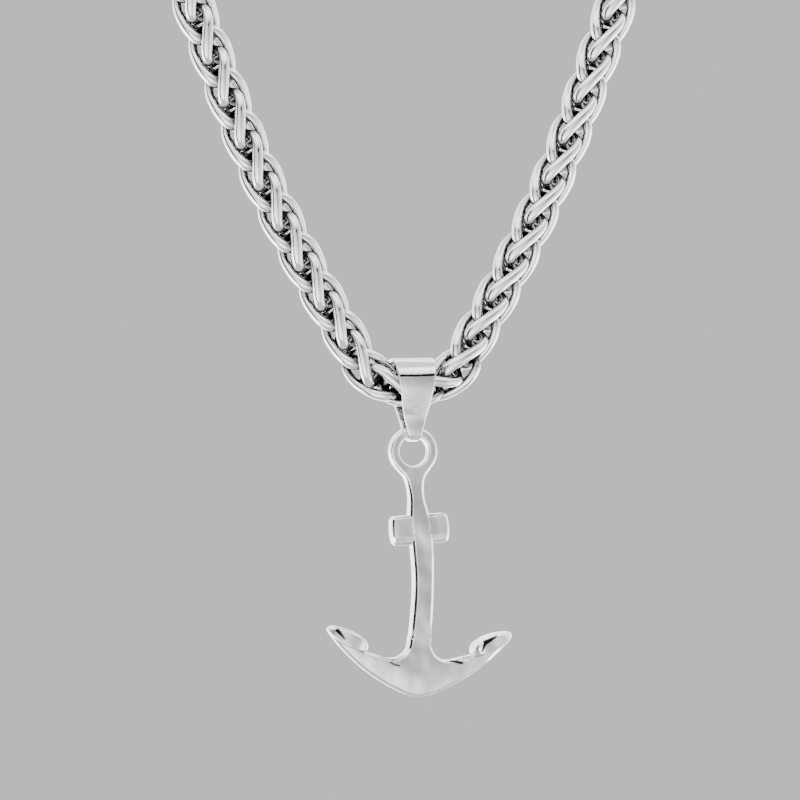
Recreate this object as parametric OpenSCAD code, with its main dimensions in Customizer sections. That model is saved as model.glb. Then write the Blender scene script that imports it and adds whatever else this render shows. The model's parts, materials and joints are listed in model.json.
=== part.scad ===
// Anchor pendant necklace: a wheat chain of oval links, a folded strap bail and a cast anchor.
// The nape, where the chain hangs on the neck, is the origin. The front hangs towards -Y and -Z.

/* [Chain] */
// Distance along the chain from one link to the next, half of the pitch of one kind of link
link_step = 3.12; // [2.9:0.01:3.3]
// Half width of an oval link, from the chain's axis to the middle of its wire
link_half_w = 2.4; // [2.2:0.01:2.6]
// Half length of an oval link, from its centre to the middle of its wire
link_half_l = 3.905; // [3.7:0.005:4.1]
// Thickness of the link wire, corner to corner
link_wire = 1.32; // [1.1:0.01:1.5]
// Turn of a link's ends about the chain's axis, which makes the slanted front wires
link_twist = 43.4; // [30:0.1:50]
// Number of links on each side of the middle one
links_each_side = 76; // [60:1:78]

/* [Loop] */
// Radius of the tight turn at the bail
turn_r = 9; // [8.5:0.1:12]
// Radius of the gentle curve above it
strand_r = 200; // [150:1:400]
// Slope of the strand's upper part from upright
strand_tilt = 20.5; // [12:0.5:30]
// Lean of the hanging front, top going back
front_lean = 0; // [0:0.5:15]
// Height up the front at which the loop starts to bend back round the neck
bend_start = 70; // [60:1:80]
// Radius of that bend
bend_r = 57; // [50:1:80]
// Angle of that bend
bend_angle = 68; // [30:1:75]

/* [Bail] */
// Width of the bail's top edge
bail_w = 6; // [5:0.1:8]
// Thickness of the bail's strap
bail_t = 0.55; // [0.5:0.05:0.9]
// Radius of the room for the chain inside the bail
bail_room_r = 3.32; // [3.2:0.05:3.8]
// Drop from the chain's centre to the outside of the bail's bottom fold
bail_drop = 8.25; // [8:0.05:9]

/* [Anchor] */
// Inner radius of the eye
eye_r = 2.13; // [1.8:0.01:2.6]
// Outer radius of the eye
eye_outer_r = 3.44; // [3:0.01:4]
// Thickness of the eye
eye_t = 2.2; // [1.8:0.1:2.6]
// Thickness of the shank and crown
shank_t = 2.8; // [2.2:0.1:3.4]
// Length of the stock
stock_w = 8.2; // [6:0.1:12]
// Half span of the arms, to the tips
arm_span = 13.3; // [11:0.1:15]
// Drop from the eye's centre to the point of the crown
crown_drop = 34.6; // [30:0.1:38]
// How far the middle of the shank stands to the right of its ends, as the casting is a little bowed
shank_bow = 1.2; // [0:0.02:2]

/* [Fastening] */
// Thickness of the wire of the plain end rings
ring_wire = 1.2; // [0.9:0.05:1.4]
// Radius of a plain end ring, to the middle of its wire
ring_r = 2.4; // [2.3:0.05:3]
// Length of the clasp's closed loop
clasp_l = 10; // [8:0.5:13]

/* [Hidden] */
gap = 0.12;

// The loop is a flat pear-shaped curve drawn on a sheet that is then bent back about X
turn_end = 55;
ease_r = 20;
ease_end = 58;
rise_end = 90 - strand_tilt;
pitch_out = 0.691;
deg = 180 / PI;

// the fastening at the nape, as offsets along the chain from the last link's centre
hook_drop = link_half_l - link_wire / 2 - ring_wire / 2 - gap;
right_ring_at = hook_drop + ring_r;
tail_r = 1.5;
tail_wire = 1.3;
tail_at = right_ring_at + ring_r - ring_wire / 2 - tail_wire / 2 - gap + tail_r;
clasp_at = tail_at + tail_r + clasp_l / 2 - 0.6;
clasp_wall = 1.5;
clasp_t = 1.8;
end_ring_r = 2.8;
end_wire = 1.3;
end_gap = 0.33;
end_ring_at = clasp_at + clasp_l / 2 - clasp_wall - end_wire / 2 - end_gap + end_ring_r;
left_ring_at = end_ring_at + end_ring_r - end_wire / 2 - ring_wire / 2 - gap + ring_r;
half_group = (left_ring_at + ring_r - ring_wire / 2 - link_wire / 2 - gap + link_half_l) / 2;

// the run of links up to the fastening, and the length that the pitch line outside the bends gains on it
links_run = links_each_side * link_step;
last_link = links_run - pitch_out * 180 / deg;
arc1 = turn_r * turn_end / deg;
ease = ease_r * (ease_end - turn_end) / deg;
arc2 = strand_r * (rise_end - ease_end) / deg;
u_rise = turn_r * sin(turn_end) + ease_r * (sin(ease_end) - sin(turn_end))
    + strand_r * (sin(rise_end) - sin(ease_end)) - half_group;
top_turn = 180 - rise_end;
straight = (last_link - arc1 - ease - arc2 - u_rise / sin(rise_end) * top_turn / deg)
    / (1 + cos(rise_end) / sin(rise_end) * top_turn / deg);
top_r = (u_rise + straight * cos(rise_end)) / sin(rise_end);
half_loop = last_link + half_group;

// pieces of the half loop: [length, radius (0 is straight), first heading]
pieces = [
    [arc1, turn_r, 0],
    [ease, ease_r, turn_end],
    [arc2, strand_r, ease_end],
    [straight, 0, rise_end],
    [top_r * top_turn / deg, top_r, rise_end],
    [half_group, 0, 180]
];

// point [u, v, heading] at length s into piece p that starts at [u, v]
function along(p, s, at) = p[1] == 0
    ? [at[0] + s * cos(p[2]), at[1] + s * sin(p[2]), p[2]]
    : let (h = p[2] + s / p[1] * deg)
        [at[0] + p[1] * (sin(h) - sin(p[2])), at[1] + p[1] * (cos(p[2]) - cos(h)), h];
function walk(s, i = 0, at = [0, 0]) = (i == len(pieces) - 1 || s <= pieces[i][0])
    ? along(pieces[i], s, at)
    : walk(s - pieces[i][0], i + 1, along(pieces[i], pieces[i][0], at));
// the same by length t along the pitch line, which runs pitch_out outside every bend
function pitch_len(i) = pieces[i][1] == 0 ? pieces[i][0] : pieces[i][0] * (1 + pitch_out / pieces[i][1]);
function from_pitch(t, i = 0) = (i == len(pieces) - 1 || t <= pitch_len(i))
    ? t * pieces[i][0] / pitch_len(i)
    : pieces[i][0] + from_pitch(t - pitch_len(i), i + 1);

function flat_at(s) = let (w = walk(abs(s))) s < 0 ? [-w[0], w[1], -w[2]] : w;

// the sheet: lean, then an arc back, then straight, as [y, z, lean] at height v
bend_len = bend_r * bend_angle / deg;
function sheet(v) = v < bend_start
    ? [v * sin(front_lean), v * cos(front_lean), front_lean]
    : let (b = min(v - bend_start, bend_len), l = front_lean + b / bend_r * deg, rest = v - bend_start - b)
        [bend_start * sin(front_lean) + bend_r * (cos(front_lean) - cos(l)) + rest * sin(l),
         bend_start * cos(front_lean) + bend_r * (sin(l) - sin(front_lean)) + rest * cos(l), l];

apex_v = flat_at(half_loop)[1];
apex = [0, sheet(apex_v)[0], sheet(apex_v)[1]];
bail_at = -apex;

// frame at length s: [point, across, back, along]; across points out of a bend
function frame_at(s) = let (
    f = flat_at(s), b = sheet(f[1]),
    up = [0, sin(b[2]), cos(b[2])], front = [0, -cos(b[2]), sin(b[2])],
    t = [cos(f[2]), 0, 0] + sin(f[2]) * up)
    [[f[0], b[0], b[1]] - apex, cross(t, front), -front, t];

// how sharply the chain bends at length s, taken over one link each way, per mm
function bend_at(s) = (flat_at(s + link_step)[2] - flat_at(s - link_step)[2]) / deg / (2 * link_step);

function unit(v) = v / norm(v);
// an outline from its right half, mirrored to the left
function both_sides(half) = concat(half, [for (i = [len(half) - 1 : -1 : 0]) [-half[i].x, half[i].y]]);
function sgn_pow(c, e) = sign(c) * pow(abs(c), e);

// One oval link, its ends turned about the chain's axis
link_sides = 10;
wire_sides = 5;
side_power = 0.643;
end_power = 0.752;
twist_power = 0.73;
// angle about the chain's axis at angle a round the link; the kinds mirror each other a quarter turn apart
function link_turn(kind, a) = kind == 0
    ? -90 + link_twist * sgn_pow(cos(a), twist_power)
    : -link_twist * sgn_pow(cos(a), twist_power);
function link_mid(kind, a) = let (
    s = link_half_w * sgn_pow(sin(a), side_power), p = link_turn(kind, a))
    [s * cos(p), s * sin(p), link_half_l * sgn_pow(cos(a), end_power)];
function link_points(kind) = [
    for (i = [0 : link_sides - 1])
        let (
            a = i * 360 / link_sides, c = link_mid(kind, a), step = 360 / link_sides,
            t = unit(link_mid(kind, a + step) - link_mid(kind, a - step)),
            p = link_turn(kind, a), m0 = [-sin(p), cos(p), 0],
            m = unit(m0 - (m0 * t) * t), n = cross(t, m))
        for (j = [0 : wire_sides - 1])
            let (w = j * 360 / wire_sides)
            c + link_wire / 2 * (cos(w) * n + sin(w) * m)
];
points_each = link_sides * wire_sides;
link_faces = [
    for (i = [0 : link_sides - 1], j = [0 : wire_sides - 1])
        let (
            a = i * wire_sides + j, b = i * wire_sides + (j + 1) % wire_sides,
            c = (a + wire_sides) % points_each, d = (b + wire_sides) % points_each)
        each [[a, c, b], [b, c, d]]
];

// in a bend the two kinds sit a little outwards and the side kind tips a little
out_front = 0.481;
out_side = 3.595;
tip_front = -0.52;
tip_side = 35.7;
// even links from the middle are the side kind
function link_kind(k) = k % 2 == 0 ? 1 : 0;
function placed_link(k, shapes) = let (
    kind = link_kind(k),
    s = sign(k) * from_pitch(abs(k) * link_step),
    f = frame_at(s), bend = bend_at(s),
    out = bend * (kind == 0 ? out_front : out_side),
    tip = bend * (kind == 0 ? tip_front : tip_side))
    [for (p = shapes[kind])
        let (y = p.y * cos(tip) - p.z * sin(tip), z = p.y * sin(tip) + p.z * cos(tip))
        f[0] + (p.x + out) * f[1] + y * f[2] + z * f[3]];

module link_run(first, last) {
    shapes = [link_points(0), link_points(1)];
    polyhedron(
        points = [for (k = [first : last]) each placed_link(k, shapes)],
        faces = [for (k = [0 : last - first]) for (f = link_faces)
            [f[0] + k * points_each, f[1] + k * points_each, f[2] + k * points_each]]);
}

module chain_right() {
    color("silver") link_run(0, links_each_side);
}

module chain_left() {
    color("silver") link_run(-links_each_side, -1);
}

// The bail is a strap folded over the chain, tapered, its two legs joined below through the eye
leg_in = eye_t / 2 + 0.45;
eye_room = 0.15;
leg_z = -4.6;
fold_in_z = -bail_drop + 0.8;
fold_mid_z = fold_in_z + leg_in;
// the outline seen from the side, y across and z up: a round top, two slanted sides and a round fold
module bail_side(grow) {
    hull() {
        circle(r = bail_room_r + grow, $fn = 40);
        translate([-leg_in - grow, leg_z]) square([2 * (leg_in + grow), 0.2]);
    }
    hull() {
        translate([-leg_in - grow, leg_z]) square([2 * (leg_in + grow), 0.2]);
        translate([0, fold_mid_z]) circle(r = leg_in + grow, $fn = 32);
    }
}

// half widths of the strap by height, from the top down
bail_taper = [[bail_w / 2, 5], [bail_w / 2, 2.6], [1.35, -6], [1, -7.15], [0.6, -7.7], [0.42, -9]];

module bail() {
    color("gainsboro") translate(bail_at)
        difference() {
            intersection() {
                rotate([90, 0, 90]) translate([0, 0, -bail_w]) linear_extrude(2 * bail_w)
                    difference() {
                        bail_side(bail_t);
                        bail_side(0);
                    }
                rotate([90, 0, 0]) translate([0, 0, -bail_w]) linear_extrude(2 * bail_w)
                    polygon(both_sides(bail_taper));
            }
            // room for the eye to slide through the fold
            translate([0, 0, -eye_drop]) rotate([90, 0, 0]) difference() {
                cylinder(r = eye_outer_r + eye_room, h = eye_t + 2 * eye_room, center = true, $fn = 96);
                cylinder(r = eye_r - eye_room, h = 2 * eye_t, center = true, $fn = 96);
            }
        }
}

// The anchor is one casting, drawn with the centre of its eye at the origin
eye_drop = bail_drop + 1.05;

module anchor() {
    color("lightsteelblue") translate(bail_at - [0, 0, eye_drop]) {
        difference() {
            union() {
                rotate([90, 0, 0]) rotate_extrude($fn = 96) eye_section();
                shank();
                stock();
                translate([arms_at.x, 0, arms_at.y]) rotate([0, arms_turn, 0]) translate([0, 0, -arms_at.y]) {
                    crown();
                    for (s = [-1, 1]) palm(s);
                }
            }
            rotate([90, 0, 0]) cylinder(r = eye_r, h = 2 * shank_t, center = true, $fn = 96);
        }
    }
}

// half section of the eye, its edges eased so that it can slide in the bail's fold
eye_ease = 0.45;
module eye_section() {
    y = eye_t / 2;
    polygon([
        [eye_r, -y + eye_ease], [eye_r + eye_ease, -y],
        [eye_outer_r - eye_ease, -y], [eye_outer_r, -y + eye_ease],
        [eye_outer_r, y - eye_ease], [eye_outer_r - eye_ease, y],
        [eye_r + eye_ease, y], [eye_r, y - eye_ease]
    ]);
}

// half widths of the shank by height, seen from the front, and half thicknesses seen from the side
shank_widths = [
    [1.9, -2.6], [1.35, -3.7], [1.08, -5.2], [1.05, -6.8], [1.25, -8.2], [1.5, -9.2],
    [1.5, -13], [1.35, -17.5], [1.37, -20.7], [1.38, -24], [1.45, -26.6], [1.45, -31]
];
shank_depths = [[eye_t / 2, -2], [eye_t / 2, -4], [shank_t / 2, -10], [shank_t / 2, -31.5]];

// how far the bow carries the shank to the right at a height
function bow_at(z) = shank_bow * pow(sin(180 * z / crown_drop), 2);

module shank() {
    outline = [for (p = both_sides(shank_widths)) [p.x + bow_at(p.y), p.y]];
    intersection() {
        rotate([90, 0, 0]) linear_extrude(2 * shank_t, center = true) polygon(outline);
        rotate([90, 0, 90]) linear_extrude(8, center = true) polygon(both_sides(shank_depths));
    }
}

// the stock is a short bar with eased edges and slightly rounded ends
stock_z = -11;
stock_h = 4;
stock_t = shank_t + 0.3;
// turns of the stock and of the arms in the plane of the anchor, which follow the bow
stock_turn = -3.2;
arms_turn = 3.4;
module stock() {
    translate([bow_at(stock_z), 0, stock_z]) rotate([0, stock_turn, 0])
        intersection() {
            cube([stock_w, stock_t, stock_h], center = true);
            rotate([0, 90, 0]) cylinder(d = 4.7, h = stock_w, center = true, $fn = 64);
            rotate([90, 0, 0]) cylinder(d = 8.7, h = stock_h, center = true, $fn = 96);
        }
}

// the arms' undersides are two shallow arcs that meet in the point below
crown_arc_r = 26.2;
crown_arc_x = 7.5;
crown_arc_z = -crown_drop + sqrt(crown_arc_r * crown_arc_r - crown_arc_x * crown_arc_x);
crown_top = -26.25;
// the arms turn about this place, and the shank comes into them at neck_x
arms_at = [0.42, -29];
neck_x = (bow_at(crown_top) - arms_at.x) * cos(arms_turn) - (crown_top - arms_at.y) * sin(arms_turn);
fillet_r = 2.6;
shank_low_w = 1.45;
hollow_mid = [7.6, -25.55];
hollow_end = [14, -22.3];
// a bar with round ends from point a to point b
module round_bar(a, b) {
    r = fillet_r;
    translate(a) circle(r = r, $fn = 64);
    translate(b) circle(r = r, $fn = 64);
    translate(a) rotate(atan2(b.y - a.y, b.x - a.x)) translate([0, -r]) square([norm(b - a), 2 * r]);
}

module crown() {
    rotate([90, 0, 0]) linear_extrude(shank_t, center = true)
        difference() {
            intersection() {
                translate([-crown_arc_x, crown_arc_z]) circle(r = crown_arc_r, $fn = 180);
                translate([crown_arc_x, crown_arc_z]) circle(r = crown_arc_r, $fn = 180);
                translate([-arm_span, -crown_drop - 1]) square([2 * arm_span, crown_drop + crown_top + 1]);
            }
            // the hollows between the shank and the palms
            for (s = [-1, 1]) {
                hollow_start = [neck_x + s * (shank_low_w + fillet_r), crown_top];
                round_bar(hollow_start, [s * hollow_mid.x, hollow_mid.y]);
                round_bar([s * hollow_mid.x, hollow_mid.y], [s * hollow_end.x, hollow_end.y]);
            }
        }
}

// a leaf-shaped pad with two sloping sides, rounded inside and pointed at the arm's tip
palm_w = 4.8;
palm_l = 8.6;
palm_at = [10.12, -25.37];
palm_in = 3.5;
palm_tip = 3.1;
palm_rise = 25.5;
palm_slope_r = 2.6;
palm_side_r = (palm_l * palm_l / 4 + palm_w * palm_w / 4) / palm_w;
// the top and the underside of the pad, bowed from the inner end to the tip
palm_bow_r = 8;
palm_bow_x = -0.4;
palm_under = 5.9;
module palm(s) {
    translate([s * palm_at.x, 0, palm_at.y]) rotate([0, 0, s < 0 ? 180 : 0]) rotate([0, -palm_rise, 0])
        intersection() {
            palm_bow(-palm_bow_r);
            palm_bow(palm_under);
            translate([0, 0, -palm_slope_r]) rotate([0, 90, 0])
                cylinder(r = palm_slope_r, h = palm_l, center = true, $fn = 64);
            translate([0, 0, -palm_w / 2]) linear_extrude(palm_w) palm_plan();
        }
}

module palm_bow(z) {
    translate([palm_bow_x, 0, z]) rotate([90, 0, 0])
        cylinder(r = palm_bow_r, h = palm_w + 1, center = true, $fn = 96);
}

// the pad from above: two side arcs that meet at the tip, and a round inner end
module palm_plan() {
    side_x = palm_tip - palm_l / 2;
    side_y = palm_side_r - palm_w / 2;
    intersection() {
        translate([side_x, side_y]) circle(r = palm_side_r, $fn = 96);
        translate([side_x, -side_y]) circle(r = palm_side_r, $fn = 96);
        translate([(palm_tip - palm_in) / 2, 0]) circle(r = (palm_tip + palm_in) / 2, $fn = 96);
    }
}

// Fastening at the nape
// Puts what is drawn about the origin at length s, turned about the chain's axis
module at_length(s, turn) {
    f = frame_at(s);
    multmatrix([
        [f[1].x, f[2].x, f[3].x, f[0].x],
        [f[1].y, f[2].y, f[3].y, f[0].y],
        [f[1].z, f[2].z, f[3].z, f[0].z],
        [0, 0, 0, 1]
    ]) rotate([0, 0, turn]) children();
}

// a round ring that stands along the chain
module plain_ring(r, wire) {
    rotate([90, 0, 0]) rotate_extrude($fn = 96) translate([r, 0]) circle(d = wire, $fn = 32);
}

module jump_ring_right() {
    color("lightgray") at_length(last_link + right_ring_at, 43) plain_ring(ring_r, ring_wire);
}

module jump_ring_left() {
    color("lightgray") at_length(last_link + left_ring_at, -43) plain_ring(ring_r, ring_wire);
}

module end_ring() {
    color("lightgray") at_length(last_link + end_ring_at, 45) plain_ring(end_ring_r, end_wire);
}

// a closed loop, narrow at its tail and broad where it holds the end ring, with a ring on the tail
clasp_low_r = 2.4;
clasp_top_r = 3;
clasp_hole_r = 1.2;
module clasp() {
    low = [0, clasp_low_r - clasp_l / 2];
    top = [0, clasp_l / 2 - clasp_top_r];
    color("darkgray") at_length(last_link + clasp_at, -45) {
        rotate([90, 0, 0]) linear_extrude(clasp_t, center = true)
            difference() {
                taper(low, clasp_low_r, top, clasp_top_r);
                taper([0, 0], clasp_hole_r, top, clasp_top_r - clasp_wall);
            }
        translate([0, 0, tail_at - clasp_at]) plain_ring(tail_r, tail_wire);
    }
}

module taper(a, ra, b, rb) {
    hull() {
        translate(a) circle(r = ra, $fn = 32);
        translate(b) circle(r = rb, $fn = 32);
    }
}

chain_right();
chain_left();
bail();
anchor();
jump_ring_right();
jump_ring_left();
end_ring();
clasp();
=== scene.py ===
"""Dresses the anchor pendant necklace: a steel wheat chain, a strap bail, a cast anchor and the fastening.

Every length is in metres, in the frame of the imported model. The nape is the origin.
"""

import json
import math

import bpy
import numpy as np
from bpy.props import FloatProperty, FloatVectorProperty, IntProperty, PointerProperty
from mathutils import Matrix, Vector


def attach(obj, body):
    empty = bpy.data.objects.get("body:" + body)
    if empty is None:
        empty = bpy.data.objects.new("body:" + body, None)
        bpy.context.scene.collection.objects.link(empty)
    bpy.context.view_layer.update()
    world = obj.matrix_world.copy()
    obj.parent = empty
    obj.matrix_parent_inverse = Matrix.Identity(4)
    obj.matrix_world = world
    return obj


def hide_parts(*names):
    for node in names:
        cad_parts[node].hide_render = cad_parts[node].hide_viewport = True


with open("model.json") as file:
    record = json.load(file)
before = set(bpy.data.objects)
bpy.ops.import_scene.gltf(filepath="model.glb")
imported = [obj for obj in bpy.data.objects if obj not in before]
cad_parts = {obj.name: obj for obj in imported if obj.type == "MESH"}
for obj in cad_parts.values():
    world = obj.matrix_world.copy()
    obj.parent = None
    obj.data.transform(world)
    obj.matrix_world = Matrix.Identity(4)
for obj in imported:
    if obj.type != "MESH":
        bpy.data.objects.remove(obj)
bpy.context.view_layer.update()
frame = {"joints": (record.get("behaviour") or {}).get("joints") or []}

bl_info = {
    "name": "Anchor pendant necklace",
    "version": (1, 0, 0),
    "blender": (4, 5, 0),
    "location": "3D View > Sidebar > Necklace",
    "description": "Makes a steel wheat chain with a strap bail and a cast anchor, and a plain studio",
    "category": "Add Mesh",
}

MM = 0.001
JOINTS = {joint["name"]: np.array(joint["pos_m"]) for joint in frame["joints"]}
CHAIN_LOW = JOINTS["bail_swing"]
EYE = JOINTS["anchor_swing"]


# Settings that a user would change

def length(name, description, value_mm):
    """A length property, given in millimetres and kept in metres."""
    return FloatProperty(
        name=name, description=description, default=value_mm * MM, unit="LENGTH", precision=5
    )


def angle(name, description, degrees):
    """An angle property, given in degrees and kept in radians."""
    return FloatProperty(
        name=name, description=description, default=math.radians(degrees), subtype="ANGLE"
    )


def number(name, description, value):
    """A plain number."""
    return FloatProperty(name=name, description=description, default=value, precision=3)


def linear(hex_code):
    """An sRGB hex colour as linear red, green and blue."""
    srgb = np.array([int(hex_code[i : i + 2], 16) / 255 for i in (0, 2, 4)])
    return tuple(np.where(srgb <= 0.04045, srgb / 12.92, ((srgb + 0.055) / 1.055) ** 2.4).tolist())


def colour(name, description, hex_code):
    """A colour property, given as an sRGB hex code and kept linear."""
    return FloatVectorProperty(
        name=name, description=description, default=linear(hex_code), subtype="COLOR", min=0, max=1
    )


class ChainSettings(bpy.types.PropertyGroup):
    """Sizes of the wheat chain's links."""

    step: length("Link step", "Distance along the chain from one link to the next", 3.12)
    half_w: length("Half width", "From the chain's axis to the middle of a link's wire", 2.3)
    half_l: length("Half length", "From a link's centre to the middle of its end's wire", 3.905)
    twist: angle("Twist", "Turn of a link's ends about the chain's axis", 43.4)
    side_power: number("Side fullness", "Power that makes the link's long sides full", 0.58)
    end_power: number("End fullness", "Power that makes the link's ends full", 0.752)
    twist_power: number("Twist spread", "Power that spreads the twist along the link", 0.73)
    wire_across: length("Wire width", "Width of the pressed wire, across the link's plane", 1.5)
    wire_deep: length("Wire depth", "Depth of the pressed wire, in the link's plane", 1.36)
    wire_power: number("Wire fullness", "Power that flattens the wire's section, 1 is an ellipse", 0.97)
    fuller: number("Fuller end", "How much fuller the wire is at a link's lower end than midway", 0.12)
    each_side: IntProperty(name="Links each side", description="Links each side of the middle", default=76)
    rings: IntProperty(name="Rings", description="Sections round a link", default=48)
    sides: IntProperty(name="Sides", description="Points round the wire", default=12)


class LoopSettings(bpy.types.PropertyGroup):
    """The route of the chain: a flat pear-shaped curve on a sheet that is bent back about X."""

    turn_r: length("Turn radius", "Tight turn at the bail", 9)
    turn_end: angle("Turn end", "Heading where the tight turn ends", 55)
    ease_r: length("Ease radius", "Bend between the turn and the strand", 20)
    ease_end: angle("Ease end", "Heading where that bend ends", 58)
    strand_r: length("Strand radius", "Gentle curve of the strand", 200)
    strand_tilt: angle("Strand tilt", "Slope of the upper strand from upright", 20.5)
    half_group: length("Half fastening", "Half length of the straight fastening at the nape", 13.715)
    bend_start: length("Bend start", "Height up the front where the loop bends back", 70)
    bend_r: length("Bend radius", "Radius of that bend", 57)
    bend_angle: angle("Bend angle", "Angle of that bend", 68)
    pitch_out: length("Pitch line", "How far outside a bend the links keep their spacing", 0.691)


class BailSettings(bpy.types.PropertyGroup):
    """Sizes of the folded strap."""

    width: length("Width", "Width of the top edge", 6)
    strap: length("Strap thickness", "Thickness of the strap", 0.5)
    room_r: length("Room radius", "Radius of the room for the chain", 3.2)
    drop: length("Drop", "From the chain's centre to the outside of the fold", 7.95)
    leg_z: length("Leg height", "Height where the legs turn upright", -4.6)
    leg_in: length("Leg room", "Half distance between the legs at the fold", 1.55)
    edge_r: length("Edge radius", "Rounding of the strap's edges", 0.17)
    shoulder: number("Shoulder", "Power that squares the roll over the chain, 2 is a circle", 2.6)
    fold_power: number("Fold fullness", "Power that squares the fold, 2 is a circle", 3.3)


class AnchorSettings(bpy.types.PropertyGroup):
    """Sizes of the casting, measured from the centre of its eye."""

    eye_r: length("Eye radius", "Inner radius of the eye", 2.07)
    eye_outer_r: length("Eye outer radius", "Outer radius of the eye", 3.39)
    stock_w: length("Stock length", "Length of the stock", 8.2)
    stock_h: length("Stock height", "Height of the stock", 4.1)
    stock_z: length("Stock place", "Height of the stock's middle", -10.95)
    arm_span: length("Half span", "Half span of the arms", 13.4)
    crown_drop: length("Crown drop", "From the eye's centre to the point of the crown", 34.6)
    crown_r: length("Crown radius", "Radius of each arm's underside", 26.2)
    crown_x: length("Crown centres", "Sideways place of those arcs' centres", 7.5)
    fillet_r: length("Hollow radius", "Radius of the hollow between shank and arm", 2.6)
    palm_w: length("Palm width", "Width of a palm, front to back", 4.8)
    palm_l: length("Palm length", "Length of the arcs of a palm's sides", 8.6)
    palm_rise: angle("Palm rise", "Slope of a palm", 25.5)
    bow: length("Shank bow", "How far the middle of the shank stands to the right of its ends", 1.2)
    stock_turn: angle("Stock turn", "How far the stock is turned, right side up", 3.2)
    arms_turn: angle("Arms' turn", "How far the arms are turned, left side up", 3.4)
    cell: length("Cell", "Cell of the grid that the surface is found on", 0.105)


class FasteningSettings(bpy.types.PropertyGroup):
    """Sizes of the rings and the closed clasp at the nape."""

    ring_r: length("Jump ring radius", "To the middle of its wire", 2.4)
    ring_wire: length("Jump ring wire", "Thickness of its wire", 1.2)
    ring_cut: length("Jump ring cut", "Width of the slit where a jump ring is bent shut", 0.06)
    end_r: length("End ring radius", "To the middle of its wire", 2.8)
    end_wire: length("End ring wire", "Thickness of its wire", 1.3)
    end_gap: length("End ring gap", "Gap between the end ring and the clasp", 0.33)
    clasp_l: length("Clasp length", "Length of the clasp's loop", 10)
    clasp_t: length("Clasp thickness", "Thickness of the clasp", 1.8)
    clasp_wall: length("Clasp wall", "Width of its metal at the broad end", 1.5)
    clasp_low_r: length("Clasp tail radius", "Outer radius of its narrow end", 2.4)
    clasp_top_r: length("Clasp head radius", "Outer radius of its broad end", 3)
    clasp_hole_r: length("Clasp hole radius", "Radius of the narrow end of its hole", 1.2)
    tail_r: length("Tail ring radius", "Ring on the clasp's tail, to the middle of its wire", 1.5)
    tail_wire: length("Tail ring wire", "Thickness of its wire", 1.3)
    gap: length("Gap", "Gap between linked pieces", 0.12)
    wire_cad: length("Link wire", "Thickness of the link wire that the places are worked out from", 1.32)


class FinishSettings(bpy.types.PropertyGroup):
    """Colours of the steel and of the studio."""

    wire_colour: colour("Wire steel", "Polished drawn wire", "CACACC")
    strap_colour: colour("Strap steel", "Polished rolled strip", "CACACC")
    cast_colour: colour("Cast steel", "Polished casting", "C8C8C9")
    floor_colour: colour("Floor", "Matt studio paper", "ABABA9")
    back_colour: colour("Background", "What the camera sees behind the floor", "DCDCDA")


class NecklaceSettings(bpy.types.PropertyGroup):
    """All settings of the necklace."""

    chain: PointerProperty(type=ChainSettings)
    loop: PointerProperty(type=LoopSettings)
    bail: PointerProperty(type=BailSettings)
    anchor: PointerProperty(type=AnchorSettings)
    fastening: PointerProperty(type=FasteningSettings)
    finish: PointerProperty(type=FinishSettings)


# Small tools

def unit(vectors):
    """Vectors along the last axis, each made one long."""
    return vectors / np.linalg.norm(vectors, axis=-1, keepdims=True)


def signed_power(value, power):
    """The value's size to a power, with the value's sign."""
    return np.sign(value) * np.abs(value) ** power


def grid_quads(rows, columns, close_rows=True, close_columns=True):
    """Quads of a grid of rows by columns points, closed on itself in the ways asked for."""
    r = np.arange(rows if close_rows else rows - 1)
    c = np.arange(columns if close_columns else columns - 1)
    r, c = np.meshgrid(r, c, indexing="ij")
    r2, c2 = (r + 1) % rows, (c + 1) % columns
    corners = [r * columns + c, r2 * columns + c, r2 * columns + c2, r * columns + c2]
    return np.stack(corners, -1).reshape(-1, 4)


def volume_inside(points, quads):
    """Six times the volume that the faces enclose, negative when they face inwards."""
    a, b, c = points[quads[:, 0]], points[quads[:, 1]], points[quads[:, 2]]
    d = points[quads[:, 3]]
    return np.sum(a * np.cross(b, c)) + np.sum(a * np.cross(c, d))


def make_piece(name, points, quads, uv=None, caps=(), values=None, normals=None):
    """A smooth mesh object from points and quads, turned so that its faces point outwards.

    Values are numbers for each point, kept as attributes under their names. Normals, where given, are
    the exact ones of the formula that the points come from.
    """
    outward = volume_inside(points, quads) > 0
    faces = quads if outward else quads[:, ::-1]
    mesh = bpy.data.meshes.new(name)
    mesh.from_pydata(points.tolist(), [], faces.tolist() + [list(cap) for cap in caps])
    mesh.polygons.foreach_set("use_smooth", np.ones(len(mesh.polygons), bool))
    if uv is not None:
        corner_uv = uv if outward else uv[:, ::-1]
        mesh.uv_layers.new(name="Wire").data.foreach_set("uv", corner_uv.astype(np.float32).ravel())
    for key, value in (values or {}).items():
        attribute = mesh.attributes.new(key, "FLOAT", "POINT")
        attribute.data.foreach_set("value", value.astype(np.float32).ravel())
    mesh.update()
    if normals is not None:
        mesh.normals_split_custom_set_from_vertices(normals.tolist())
    piece = bpy.data.objects.new(name, mesh)
    bpy.context.scene.collection.objects.link(piece)
    return piece


def settle(piece, body, node, material):
    """Gives a finished piece its body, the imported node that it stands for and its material."""
    piece.data.materials.append(material)
    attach(piece, body)
    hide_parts(node)


# The route of the chain

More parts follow.
